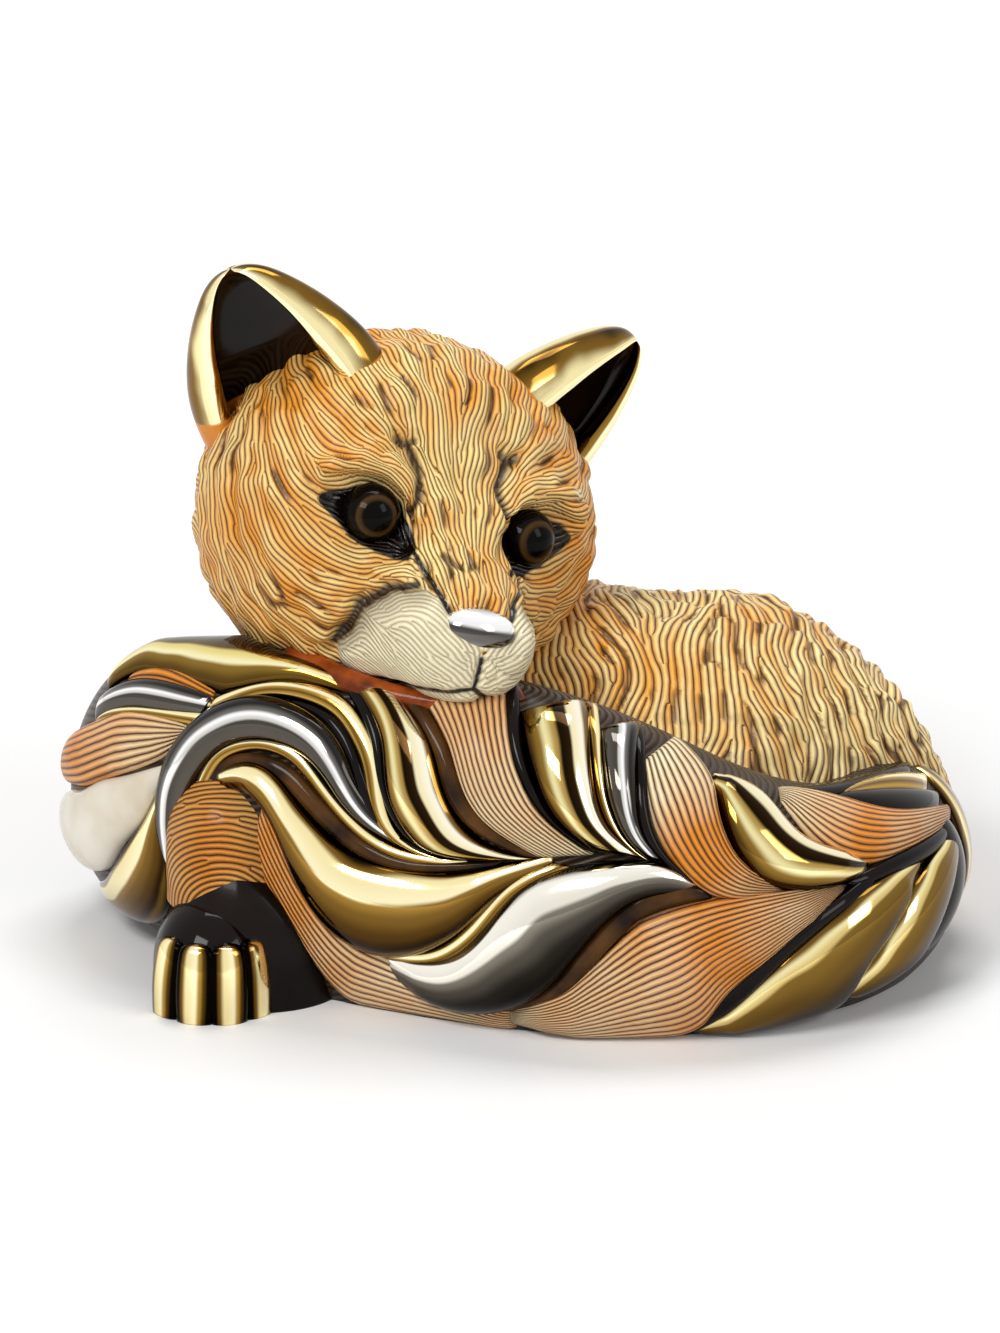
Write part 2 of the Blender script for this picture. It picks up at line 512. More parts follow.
def shapeFace(local, flat, facing, almondDistance, distances):
    # brow ridges, eye hollows, cheeks, the puffed muzzle and the cut lines, and a jaw drawn in below
    face = faceLook
    lidless = almondDistance > 0.6
    push = face["brow"] * bell(lineDistance(flat, browRidge), face["browWidth"])
    push *= smoothStep(-0.2, 1.2, almondDistance)
    fromEye = np.linalg.norm(flat - np.array(eyeLook["spot"]), axis=1)
    push -= face["hollow"] * np.exp(-(fromEye / face["hollowWidth"]) ** 4)
    fromCheek = np.linalg.norm(flat - np.array(face["cheekPlace"]), axis=1)
    push += face["cheek"] * bell(fromCheek, face["cheekWidth"])
    push += face["muzzle"] * smoothStep(0.3, -3.0, distances["ivoryDistance"])
    push += face["lip"] * smoothStep(0.3, -0.6, distances["ivoryDistance"])
    push -= face["ink"] * bell(np.maximum(distances["inkDistance"], 0), face["inkWidth"]) * lidless
    push -= face["crease"] * bell(distances["creaseDistance"], face["creaseWidth"]) * lidless
    outward = local / np.maximum(np.linalg.norm(local, axis=1, keepdims=True), 1e-6)
    jaw = smoothStep(2.0, -10.0, local[:, 2]) * smoothStep(0.35, 0.8, np.abs(outward[:, 0]))
    jaw *= smoothStep(9.0, -2.0, local[:, 1])
    return local + outward * (push * facing - face["jaw"] * jaw)[:, None]


def headComb(local, points):
    # the way of the fur: pulled from the guides in front, and back over the skull behind
    side = np.where(local[:, 0] < 0, -1.0, 1.0)
    level = np.zeros(len(local))
    guides = np.array(furGuides, float)
    away = (np.abs(local[:, 0:1]) - guides[:, 0]) ** 2 + (local[:, 2:3] - guides[:, 1]) ** 2
    pull = np.exp(-away / (2 * headLook["guideReach"] ** 2)) + 1e-9
    way = pull / pull.sum(1, keepdims=True) @ guides[:, 2:]
    front = np.stack([way[:, 0] * side, 0.25 + 0.6 * smoothStep(6, 20, local[:, 2]), way[:, 1]], 1)
    back = np.stack([level, level + 0.8, -0.9 * smoothStep(0, 16, local[:, 1])], 1)
    behind = smoothStep(2, 12, local[:, 1])[:, None]
    drift = np.stack([wander(points, 9, 21), level, wander(points, 9, 22)], 1)
    return (front * (1 - behind) + back * behind + headLook["drift"] * drift) @ headTurn.T


def headGlaze():
    # the body's carved glaze, with an ivory muzzle, olive under its upper edge, and black eye lines
    material, colour, height = carvedFurGlaze(
        "carvedHeadGlaze", "#FFE496", "#F5A234", "#A85C14", "#3E1F08", headLook["pitch"], 0.7)
    tree = material.node_tree
    surface = tree.nodes["Principled BSDF"]
    bands = {}
    for name, low, high, most in (
            ("ivoryDistance", 0.30, -0.20, 1.0), ("inkDistance", 0.18, -0.05, 1.0),
            ("creaseDistance", 0.45, 0.1, 0.95), ("muzzleEdge", 1.8, 0.2, 0.6)):
        distance = addNode(tree, "ShaderNodeAttribute", attribute_name=name).outputs["Fac"]
        bands[name] = addNode(tree, "ShaderNodeMapRange", {
            "Value": distance, "From Min": low, "From Max": high, "To Max": most})
    ridged = addNode(tree, "ShaderNodeMath", (height, 0.6), operation="POWER")
    mix = dict(data_type="RGBA")
    bone = addNode(tree, "ShaderNodeMix", {"Factor": ridged, "A": "#C9B683", "B": "#F8EDCB"}, **mix)
    bone = addNode(tree, "ShaderNodeMix", {"Factor": bands["muzzleEdge"], "A": bone, "B": "#4A4132"}, **mix)
    face = colour
    for name, over in (("ivoryDistance", bone), ("creaseDistance", "#241307"), ("inkDistance", "#150C07")):
        face = addNode(tree, "ShaderNodeMix", {"Factor": bands[name], "A": face, "B": over}, **mix)
    tree.links.new(face.outputs["Result"], surface.inputs["Base Color"])
    wet = addNode(tree, "ShaderNodeMath", (bands["inkDistance"], -0.26, 0.36), operation="MULTIPLY_ADD")
    tree.links.new(wet.outputs[0], surface.inputs["Roughness"])
    return material


def headPiece():
    local = headGrid().reshape(-1, 3)
    flat, facing, almondDistance, distances = faceDistances(local)
    shaped = onHead(shapeFace(local, flat, facing, almondDistance, distances))
    mesh = closedMesh("headFur", shaped.reshape(headLook["rings"], headLook["spokes"], 3))
    points, _ = meshArrays(mesh)
    local = (points - np.array(head["centre"])) @ headTurn
    comb = headComb(local, points)
    combFur(mesh, comb, headLook["pitch"], headLook["rounds"], headLook["seed"])
    # the distances count on the front of the head only, and its two poles have none
    farOff = 9
    for name, values in distances.items():
        distances[name] = np.append(np.where(facing > 0.3, values, farOff), (farOff, farOff))
        writeValues(mesh, name, distances[name])
    calm = 1 - 0.8 * smoothStep(1.0, -0.5, distances["ivoryDistance"])  # the muzzle is smoother
    tufts = dict(headTufts, lift=headTufts["lift"] * calm)
    bands = raiseTufts(mesh, comb, headLook["rounds"], **tufts)
    bridge = bell(np.linalg.norm(local[:, [0, 2]] - (0, 6), axis=1), headTone["bridgeSpread"])
    cream = headTone["ground"] + headTone["bridge"] * bridge
    cream -= headTone["sides"] * smoothStep(12, 20, np.abs(local[:, 0]))
    writeValues(mesh, "glazeTone", cream + 0.2 * wander(points, 12, 31) + headTone["tufts"] * bands)
    placePiece(mesh, "head_carved", ["head"], headGlaze())


headPiece()
print("head carved")


# Eyes and nose

noseLook = dict(centre=(0.0, -30.2, -8.0), sizes=(10.0, 7.0, 6.0), bandHeight=-3.0, bandShare=0.75)


def ballGrid(centre, sizes, rings=60, spokes=90):
    poleGap = 0.02
    lift = np.linspace(poleGap - math.pi / 2, math.pi / 2 - poleGap, rings)[:, None]
    around = np.linspace(0, fullTurn, spokes, endpoint=False)
    grid = np.zeros((rings, spokes, 3))
    grid[..., 0] = np.cos(lift) * np.cos(around) * sizes[0] / 2
    grid[..., 1] = np.cos(lift) * np.sin(around) * sizes[1] / 2
    grid[..., 2] = np.sin(lift) * sizes[2] / 2
    return grid + np.array(centre)


def eyeGlaze():
    # dark brown enamel eye with a black pupil and a paler ring, under clear gloss
    material, tree, surface = startMaterial("eyeEnamel", {
        "Roughness": 0.05, "Specular IOR Level": 0.05, "Coat Weight": 0.03, "Coat Roughness": 0.02})
    ring = addNode(tree, "ShaderNodeAttribute", attribute_name="pupilDistance").outputs["Fac"]
    colour = addNode(tree, "ShaderNodeValToRGB", {"Fac": ring}, (
        (0.0, "#040302"), (0.40, "#060403"), (0.46, "#3A2712"), (0.56, "#4A3418"), (0.64, "#0C0704"),
        (1.0, "#080503")))
    tree.links.new(colour.outputs["Color"], surface.inputs["Base Color"])
    return material


def localPoints(mesh):
    points, _ = meshArrays(mesh)
    return (points - np.array(head["centre"])) @ headTurn


eyeEnamel = eyeGlaze()
for sideSign, node in ((-1, "left_eye"), (1, "right_eye")):
    centre = (sideSign * eyeLook["spot"][0], eyeLook["deep"], eyeLook["spot"][1])
    mesh = closedMesh(node + "Ball", onHead(ballGrid(centre, (2 * eyeLook["radius"],) * 3)))
    gaze = np.array(eyeLook["gaze"]) * (sideSign, 1, 1)
    gaze /= np.linalg.norm(gaze)
    turned = (localPoints(mesh) - np.array(centre)) @ gaze / eyeLook["radius"]
    writeValues(mesh, "pupilDistance", np.arccos(np.clip(turned, -1, 1)) / eyeLook["pupilSpread"])
    placePiece(mesh, node + "_enamel", [node], eyeEnamel)

mesh = closedMesh("noseBall", onHead(ballGrid(noseLook["centre"], noseLook["sizes"])))
fromMiddle = (localPoints(mesh)[:, 2] - noseLook["centre"][2]) / noseLook["bandHeight"]
writeValues(mesh, "lockAcross", np.clip(fromMiddle, -0.9, 0.9) * noseLook["bandShare"])
placePiece(mesh, "nose_lustre", ["nose"], platinumLustre)
print("eyes and nose set")


# Ears: rolled gold rims round dark cups

earLook = dict(
    height=18.0, width=26.0, thickness=12.4, wall=3.0, place=(16.9, 1.0, 13.6),
    lean=40.0, turn=35.0, open=128.0)
earRows = (
    (-0.35, 1.0, 1.05), (0.0, 1.0, 1.0), (0.3, 0.91, 0.88), (0.6, 0.70, 0.72), (0.82, 0.47, 0.55),
    (0.94, 0.29, 0.36), (0.99, 0.14, 0.2), (1.0, 0.03, 0.05))
# how far round the section each place lies: 0 the back, 1 to 2 over the rim, 3 the middle of the cup
earBands = ((0.0, 0.7, 0.86, 1.0, 1.3, 1.6, 2.0, 3.0), (0.60, 0.02, 0.05, 0.10, 0.24, 0.42, 0.72, 0.72))


def earSheet(rings=90, spokes=90, rimSteps=12):
    # the back skin, the rolled rim and the cup as one closed band, ring by ring up to the tip
    rows = smoothRows(earRows, rings)
    grid = np.zeros((rings, 2 * spokes + 2 * (rimSteps - 1), 3))
    opened = math.radians(earLook["open"])
    outer = np.linspace(-opened, opened, spokes)
    way = np.stack([np.sin(outer), np.cos(outer)], 1)
    turn = np.arange(1, rimSteps)[:, None] / rimSteps
    for ring, (rise, wide, thick) in zip(grid, rows):
        half = np.array((wide * earLook["width"], thick * earLook["thickness"])) / 2
        wall = earLook["wall"] * min(1.0, 0.4 + 0.9 * (1 - max(rise, 0)))
        back, cup = way * half, way * np.maximum(half - wall, half * 0.3)
        line = [back]
        for outside, inside in ((back[-1], cup[-1]), (back[0], cup[0])):
            middle, arm = (outside + inside) / 2, (outside - inside) / 2
            out = np.array((arm[1], -arm[0])) * (1 if -arm[0] < 0 else -1)
            line.append(middle + arm * np.cos(turn * math.pi) + out * np.sin(turn * math.pi))
        ring[:, :2] = np.concatenate([line[0], line[1], cup[::-1], line[2][::-1]])
        ring[:, 2] = rise * earLook["height"]
    share = np.abs(outer) / opened
    marks = np.concatenate([share, 1 + turn[:, 0], 3 - share, (1 + turn[:, 0])[::-1]])
    return grid, marks, rows


def earGlaze():
    # gold lustre on the rim and back, black-brown gloss in the cup, orange glaze at the root
    material, tree, surface = startMaterial("earLustre", {"Roughness": 0.11, "Specular IOR Level": 0.2})
    cup = addNode(tree, "ShaderNodeAttribute", attribute_name="cupShare").outputs["Fac"]
    across = addNode(tree, "ShaderNodeAttribute", attribute_name="lockAcross").outputs["Fac"]
    root = addNode(tree, "ShaderNodeAttribute", attribute_name="rootShare").outputs["Fac"]
    place = addNode(tree, "ShaderNodeTexCoord").outputs["Object"]
    drift = addNode(tree, "ShaderNodeTexNoise", {"Vector": place, "Scale": 110.0, "Detail": 2.0})
    share = addNode(tree, "ShaderNodeMath", (across, 0.5, 0.5), operation="MULTIPLY_ADD")
    shift = addNode(tree, "ShaderNodeMath", (drift, 0.12, -0.06), operation="MULTIPLY_ADD")
    at = addNode(tree, "ShaderNodeMath", (share, shift), operation="ADD")
    gold = addNode(tree, "ShaderNodeValToRGB", {"Fac": at}, deepBands, "EASE")
    dark = addNode(tree, "ShaderNodeValToRGB", {"Fac": drift}, ((0.35, "#070402"), (0.7, "#1E1007")))
    ragged = addNode(tree, "ShaderNodeMath", (drift, 0.3, -0.15), operation="MULTIPLY_ADD")
    ragged = addNode(tree, "ShaderNodeMath", (root, ragged), operation="ADD")
    inCup = addNode(tree, "ShaderNodeMapRange", {"Value": cup, "From Min": 0.45, "From Max": 0.55})
    atRoot = addNode(tree, "ShaderNodeMapRange", {"Value": ragged, "From Min": 0.5, "From Max": 0.62})
    colour = addNode(tree, "ShaderNodeMix", {"Factor": inCup, "A": gold, "B": dark}, data_type="RGBA")
    colour = addNode(tree, "ShaderNodeMix", {"Factor": atRoot, "A": colour, "B": "#E08A2A"}, data_type="RGBA")
    tree.links.new(colour.outputs["Result"], surface.inputs["Base Color"])
    offCup = addNode(tree, "ShaderNodeMath", (1.0, inCup), operation="SUBTRACT")
    offRoot = addNode(tree, "ShaderNodeMath", (1.0, atRoot), operation="SUBTRACT")
    metal = addNode(tree, "ShaderNodeMath", (offCup, offRoot), operation="MULTIPLY")
    tree.links.new(metal.outputs[0], surface.inputs["Metallic"])
    return material


earLustre = earGlaze()
for sideSign, node in ((-1, "left_ear"), (1, "right_ear")):
    grid, marks, rows = earSheet()
    turn = turnMatrix("Y", sideSign * earLook["lean"]) @ turnMatrix("Z", sideSign * earLook["turn"])
    mesh = closedMesh(node + "Sheet", onHead(grid @ turn.T + np.array(earLook["place"]) * (sideSign, 1, 1)))
    marks = np.tile(marks, len(rows))
    rises = np.repeat(rows[:, 0], grid.shape[1])
    cup = smoothStep(2.04, 2.16, marks) * smoothStep(0.97, 0.92, rises)
    bands = 2 * np.interp(marks, *earBands) - 1
    root = smoothStep(0.16, -0.05, rises)
    for name, values in (("cupShare", cup), ("lockAcross", bands), ("rootShare", root)):
        writeValues(mesh, name, np.append(values, (0.0, 0.0)))
    placePiece(mesh, node + "_lustre", [node], earLustre)
print("ears set")


# Foreleg, sleeve, paw and toes

legLook = dict(
    place=(-34.6, -14.6), halfWidth=8.2, halfDepth=7.8, height=28.5,
    rows=((0.40, 1.0, 0.0), (0.5, 1.0, 0.0), (0.75, 0.97, 0.1), (0.92, 0.68, 0.25), (0.985, 0.32, 0.33),
          (1.0, 0.04, 0.36)))
legComb = dict(pitch=0.75, rounds=240, seed=41, ringedRound=(-35.4, -20.3, 12.0))
sleeveLook = dict(
    place=(-31.8, -16.4), halfWidth=10.9, halfDepth=9.0, height=18.6, slope=0.30, slopeStart=-2.0,
    rows=((0.0, 1.0, 0.0), (0.35, 0.98, 0.0), (0.65, 0.90, 0.0), (0.86, 0.72, 0.0), (0.96, 0.44, 0.0),
          (1.0, 0.04, 0.0)))
pawLook = dict(
    place=(-36.9, -20.3), halfWidth=7.5, halfDepth=8.2, height=13.6,
    rows=((0.0, 0.93, 0.0), (0.3, 1.0, 0.0), (0.6, 0.93, 0.04), (0.84, 0.68, 0.1), (0.97, 0.33, 0.18),
          (1.0, 0.04, 0.22)))
toeLook = dict(
    count=4, spread=100.0, width=5.0, height=9.8, proud=1.15, rings=50, spokes=48,
    rows=((0, 0.94, 1.0), (0.3, 1.0, 0.99), (0.6, 0.98, 0.96), (0.84, 0.92, 0.91), (0.95, 0.78, 0.87),
          (0.99, 0.5, 0.83), (1.0, 0.1, 0.80)))


def uprightGrid(look, rings=90, spokes=150):
    # rows are height, width and how far back the ring has moved, as shares
    rows = smoothRows(look["rows"], rings)
    turn = np.linspace(0, fullTurn, spokes, endpoint=False)
    grid = np.zeros((rings, spokes, 3))
    grid[..., 0] = look["place"][0] + rows[:, 1:2] * look["halfWidth"] * np.cos(turn)
    grid[..., 1] = look["place"][1] + look["halfDepth"] * (rows[:, 2:3] + rows[:, 1:2] * np.sin(turn))
    grid[..., 2] = np.clip(rows[:, 0:1], 0, 1) * look["height"]
    return grid


def legPiece():
    mesh = closedMesh("legFur", uprightGrid(legLook))
    points, normals = meshArrays(mesh)
    comb = np.cross(normals, points - np.array(legComb["ringedRound"]))
    combFur(mesh, comb, legComb["pitch"], legComb["rounds"], legComb["seed"])
    writeValues(mesh, "glazeTone", 0.2 * wander(points, 9, 42) - 0.35)
    glaze = carvedFurGlaze("carvedLegGlaze", "#F2C878", "#D98726", "#7A3E0E", "#2E1505", furPitch, 1.0)[0]
    placePiece(mesh, "foreleg_carved", ["foreleg"], glaze)


def sleevePiece():
    grid = uprightGrid(sleeveLook)
    right = grid[..., 0] - sleeveLook["place"][0] - sleeveLook["slopeStart"]
    grid[..., 2] *= 1 - sleeveLook["slope"] * np.clip(right / sleeveLook["halfWidth"], 0, 1)
    placePiece(closedMesh("sleeveSatin", grid), "sleeve_satin", ["paw_sleeve"], sleeveGlaze)


def toeGrid(bearing, turn):
    # a bar standing against the paw at its bearing from straight in front
    shape = smoothRows(toeLook["rows"], toeLook["rings"])
    rise, wide, out = shape[:, 0:1], shape[:, 1:2], shape[:, 2:3]
    sideways = wide * toeLook["width"] / 2 * np.cos(turn)
    proud = wide * toeLook["proud"] * np.sin(turn)
    grid = np.zeros((len(shape), len(turn), 3))
    grid[..., 0] = pawLook["place"][0] + math.sin(bearing) * (pawLook["halfWidth"] * out + proud)
    grid[..., 0] += math.cos(bearing) * sideways
    grid[..., 1] = pawLook["place"][1] - math.cos(bearing) * (pawLook["halfDepth"] * out + proud)
    grid[..., 1] += math.sin(bearing) * sideways
    grid[..., 2] = rise * toeLook["height"]
    return grid


legPiece()
sleevePiece()
placePiece(closedMesh("pawGloss", uprightGrid(pawLook)), "paw_gloss", ["paw"], blackGlaze)
for number in range(toeLook["count"]):
    bearing = math.radians(toeLook["spread"] * (number / (toeLook["count"] - 1) - 0.5))
    turn = np.linspace(0, fullTurn, toeLook["spokes"], endpoint=False)
    mesh = closedMesh("toeGold", toeGrid(bearing, turn))
    writeValues(mesh, "lockAcross", np.append(np.tile(np.cos(turn) * 0.9, toeLook["rings"]), (0.0, 0.0)))
    placePiece(mesh, "toe_gold_%d" % (number + 1), ["toe_%d" % (number + 1)], toeLustre)
print("leg and paw set")


# Tail and its fur locks

tailLook = dict(rings=300, spokes=180, rounds=120, seed=51)


def tailGrid():
    rows = smoothRows(tailRows, tailLook["rings"])
    turn = np.linspace(0, fullTurn, tailLook["spokes"], endpoint=False)
    heading = np.radians(rows[:, 2:3])
    low = rows[:, 5:6] * tail["height"]
    reach = rows[:, 3:4] * tail["halfWidth"] * np.cos(turn)
    grid = np.zeros((len(rows), len(turn), 3))
    grid[..., 0] = rows[:, 0:1] * tail["halfLength"] + np.cos(heading) * reach
    grid[..., 1] = rows[:, 1:2] * tail["reach"] + np.sin(heading) * reach
    grid[..., 2] = np.maximum(low + (rows[:, 4:5] * tail["height"] - low) * np.sin(turn), 0)
    return grid


tailMesh = closedMesh("tailRoll", tailGrid())
tailTree = BVHTree.FromPolygons(
    [tuple(vertex.co / mm) for vertex in tailMesh.vertices],
    [tuple(polygon.vertices) for polygon in tailMesh.polygons])
points, normals = meshArrays(tailMesh)
upright = np.array((0.0, 0.0, 1.0))
combFur(tailMesh, np.cross(upright, normals) + 0.35 * upright, furPitch, tailLook["rounds"], tailLook["seed"])
writeValues(tailMesh, "glazeTone", 0.3 * wander(points, 10, 52))
tailGlaze = carvedFurGlaze("carvedTailGlaze", "#3F2A10", "#2A1A09", "#170D05", "#0B0603", furPitch, 1.0)[0]
placePiece(tailMesh, "tail_ground", ["tail_core"], tailGlaze)

# widen takes each edge under its neighbour, and steep keeps a thin lock from standing too proud
lockLook = dict(steps=80, strips=30, sink=0.45, plump=0.38, widen=0.3, leastWidth=0.6, steep=0.62, pitch=1.0)
carvedLock = carvedFurGlaze(
    "carvedLockGlaze", "#FFF1C4", "#EC9226", "#86420E", "#2E1505", lockLook["pitch"], 0.9)[0]
finishes = dict(
    gold=("gold_lustre", goldLustre), goldDeep=("gold_lustre", goldDeepLustre),
    goldPool=("gold_lustre", goldPoolLustre), goldShade=("gold_lustre", goldShadeLustre),
    goldCrest=("gold_lustre", goldCrestLustre), platinumDeep=("platinum_lustre", platinumDeepLustre),
    platinumArch=("platinum_lustre", platinumArchLustre), ivory=("ivory_glaze", ivoryGlaze),
    carved=("carved_fur_glaze", carvedLock), dark=("black_glaze", blackGlaze),
    bronze=("dark_bronze_glaze", bronzeGlaze), amber=("dark_bronze_glaze", amberGlaze))

# Each lock has its name, azimuth of the drawing, finish, height and CAD node or none, the tone of its
# glaze at root, middle and tip, and both its edges from root to tip. In front the edges are places in
# the photograph, as column and row
frontLocks = (
    ("ledge_dark", 0, "dark", 0.9, None, (0, 0, 0),
     ((950, 771), (925, 763), (900, 766), (870, 777), (830, 787), (790, 789)),
     ((948, 782), (920, 777), (895, 780), (865, 788), (830, 795), (790, 795))),
    ("upper_gold_sliver", 0, "gold", 1.2, None, (0, 0, 0),
     ((950, 780), (905, 776), (868, 784), (840, 795)),
     ((948, 794), (905, 794), (868, 795), (840, 798))),
    ("upper_dark_tip", 0, "dark", 1.2, "upper_dark_tip", (0, 0, 0),
     ((948, 793), (905, 792), (868, 793), (836, 796)),
     ((946, 808), (905, 815), (866, 809), (836, 799))),
    ("upper_carved_right", 0, "carved", 2, "upper_carved_right", (-0.3, -1, 1),
     ((948, 806), (905, 813), (866, 808), (825, 797), (778, 789)),
     ((948, 822), (915, 845), (872, 861), (825, 850), (780, 799))),
    ("upper_gold_right", 0, "goldPool", 3, "upper_gold_right", (0, 0, 0),
     ((868, 860), (830, 850), (795, 835), (768, 806), (745, 788), (712, 775)),
     ((868, 872), (835, 885), (790, 889), (752, 874), (728, 840), (718, 806), (710, 783))),
    ("upper_carved_middle", 0, "carved", 2.8, "upper_carved_middle", (0.2, -0.9, 1.3),
     ((784, 884), (746, 868), (724, 838), (714, 805), (702, 770), (656, 722)),
     ((784, 891), (728, 897), (688, 876), (660, 838), (645, 790), (643, 735))),
    ("upper_dark_line", 0, "dark", 1.4, None, (0, 0, 0),
     ((705, 888), (674, 864), (653, 832), (645, 790), (643, 745), (642, 708)),
     ((685, 882), (658, 858), (640, 830), (634, 790), (634, 742), (630, 702))),
    ("upper_platinum_short", 0, "platinumArch", 2.4, "upper_platinum_short", (0, 0, 0),
     ((664, 862), (643, 834), (635, 795), (635, 745), (638, 722), (618, 690)),
     ((648, 860), (624, 834), (608, 795), (602, 752), (600, 720), (600, 690))),
    ("upper_gold_rope", 0, "gold", 1.2, None, (0, 0, 0),
     ((650, 862), (622, 836), (606, 795), (600, 750), (594, 686)),
     ((640, 858), (611, 830), (596, 793), (590, 750), (584, 684))),
    ("upper_gold_middle", 0, "goldPool", 3.2, "upper_gold_middle", (0, 0, 0),
     ((642, 858), (608, 828), (594, 790), (588, 745), (582, 700), (556, 668)),
     ((594, 852), (556, 818), (536, 780), (525, 740), (521, 705), (524, 672))),
    ("upper_dark_reed", 0, "dark", 1.4, None, (0, 0, 0),
     ((597, 853), (556, 821), (534, 782), (521, 742), (516, 682)),
     ((584, 850), (544, 816), (521, 780), (509, 740), (504, 680))),
    ("upper_carved_left", 0, "carved", 2.6, "upper_carved_left", (0.6, 0.3, -0.2),
     ((592, 855), (545, 818), (521, 780), (510, 740), (505, 680)),
     ((540, 857), (486, 822), (462, 782), (448, 742), (418, 690))),
    ("upper_bronze_reed", 0, "bronze", 1.3, None, (0, 0, 0),
     ((544, 858), (490, 826), (462, 786), (447, 746), (415, 690)),
     ((524, 857), (472, 828), (445, 790), (434, 752), (398, 692))),
    ("upper_gold_left", 0, "goldPool", 2.8, "upper_gold_left", (0, 0, 0),
     ((534, 859), (480, 840), (450, 802), (438, 765), (424, 730), (385, 684)),
     ((505, 860), (436, 852), (400, 820), (386, 780), (380, 735), (355, 688))),
    ("upper_gold_thin", 0, "gold", 1.2, None, (0, 0, 0),
     ((455, 862), (408, 842), (388, 808), (382, 765), (362, 720), (330, 692), (280, 682), (240, 688),
      (210, 702)),
     ((440, 862), (394, 840), (370, 805), (362, 765), (346, 730), (322, 708), (280, 697), (245, 702),
      (205, 716))),
    ("platinum_arch", 0, "platinumArch", 3, "platinum_arch", (0, 0, 0),
     ((420, 848), (384, 824), (360, 782), (344, 744), (312, 713), (266, 698), (222, 706), (188, 732),
      (166, 772), (160, 825), (165, 875)),
     ((405, 848), (360, 820), (328, 780), (300, 752), (262, 741), (228, 747), (206, 767), (192, 795),
      (184, 830), (178, 870))),
    ("gold_under_arch", 0, "gold", 1.2, None, (0, 0, 0),
     ((470, 862), (402, 850), (356, 818), (322, 776), (298, 748), (262, 738), (226, 744), (204, 766),
      (190, 800)),
     ((468, 867), (400, 858), (350, 828), (314, 786), (290, 760), (260, 750), (230, 755), (213, 773),
      (199, 802))),
    ("bronze_under_arch", 0, "bronze", 1.1, None, (0, 0, 0),
     ((505, 861), (420, 862), (362, 838), (316, 794), (288, 766), (257, 755), (228, 759), (206, 780)),
     ((500, 867), (420, 871), (354, 850), (304, 806), (276, 779), (252, 767), (232, 769), (212, 786))),
    ("lower_gold_left", 0, "goldDeep", 3.6, "lower_gold_left", (0, 0, 0),
     ((552, 857), (480, 868), (425, 871), (370, 860), (330, 836), (298, 798), (274, 771), (245, 762),
      (212, 776)),
     ((554, 866), (502, 894), (460, 932), (405, 954), (350, 940), (312, 902), (288, 852), (270, 814),
      (248, 792), (220, 788))),
    ("lower_gold_border", 0, "gold", 1.8, None, (0, 0, 0),
     ((554, 862), (505, 886), (470, 922), (430, 948), (382, 946)),
     ((572, 866), (522, 892), (488, 930), (444, 960), (386, 962))),
    ("lower_platinum", 0, "platinumDeep", 3.6, "lower_platinum", (0, 0, 0),
     ((698, 885), (665, 866), (620, 862), (562, 870), (515, 892), (484, 928), (445, 956), (382, 954)),
     ((698, 892), (642, 898), (608, 920), (578, 954), (548, 988), (502, 1008), (445, 1004), (392, 974))),
    ("lower_bronze_reed", 0, "bronze", 1.5, None, (0, 0, 0),
     ((706, 886), (645, 893), (608, 918), (578, 952), (548, 988), (505, 1010)),
     ((712, 898), (656, 908), (622, 932), (592, 964), (560, 997), (515, 1014))),
    ("lower_carved", 0, "carved", 3, "lower_carved", (0.2, -0.9, 0.9),
     ((842, 884), (790, 891), (730, 898), (680, 908), (635, 925), (600, 955), (570, 985), (505, 1012)),
     ((848, 892), (800, 928), (762, 960), (722, 994), (694, 1026), (630, 1037), (580, 1032), (508, 1020))),
    ("lower_fur_strip", 0, "carved", 1.8, "lower_fur_strip", (0.3, -0.5, -0.8),
     ((512, 1008), (450, 990), (402, 962), (365, 938), (330, 903), (302, 862), (283, 822), (266, 790)),
     ((516, 1026), (450, 1022), (400, 1014), (352, 998), (318, 962), (292, 922), (268, 884), (250, 850))),
    ("lower_dark_band", 0, "dark", 1.8, None, (0, 0, 0),
     ((880, 868), (808, 914), (762, 953), (724, 990), (682, 1028)),
     ((890, 876), (818, 928), (773, 966), (735, 1003), (692, 1032))),
    ("lower_gold_middle", 0, "goldShade", 3, "lower_gold_middle", (0, 0, 0),
     ((922, 858), (868, 884), (815, 926), (772, 964), (732, 1002), (690, 1030)),
     ((918, 870), (890, 925), (864, 962), (842, 993), (800, 1013), (700, 1033))),
    ("lower_gold_right", 0, "goldShade", 2.4, "lower_gold_right", (0, 0, 0),
     ((950, 830), (912, 882), (886, 928), (863, 962), (838, 995)),
     ((955, 838), (944, 892), (924, 938), (900, 966), (852, 996))),
    ("arch_dark_reed", 0, "dark", 1.5, None, (0, 0, 0),
     ((440, 856), (394, 830), (372, 795), (356, 750), (332, 716), (290, 699)),
     ((430, 856), (382, 826), (358, 788), (342, 746), (315, 716), (285, 704))),
    ("upper_dark_reed_left", 0, "dark", 1.4, None, (0, 0, 0),
     ((505, 860), (438, 852), (404, 822), (388, 780), (382, 735), (364, 690)),
     ((478, 863), (425, 848), (394, 818), (379, 776), (370, 735), (346, 688))),
    ("quill_dark", 0, "dark", 1.4, None, (0, 0, 0),
     ((950, 820), (918, 843), (880, 862), (844, 884)),
     ((950, 834), (926, 856), (892, 874), (858, 891))),
    ("chin_amber", 0, "amber", 1.2, None, (0, 0, 0),
     ((212, 638), (250, 634), (300, 649), (360, 675), (420, 693), (470, 697), (520, 686)),
     ((214, 646), (248, 650), (298, 668), (353, 693), (415, 707), (470, 709), (525, 697))),
)
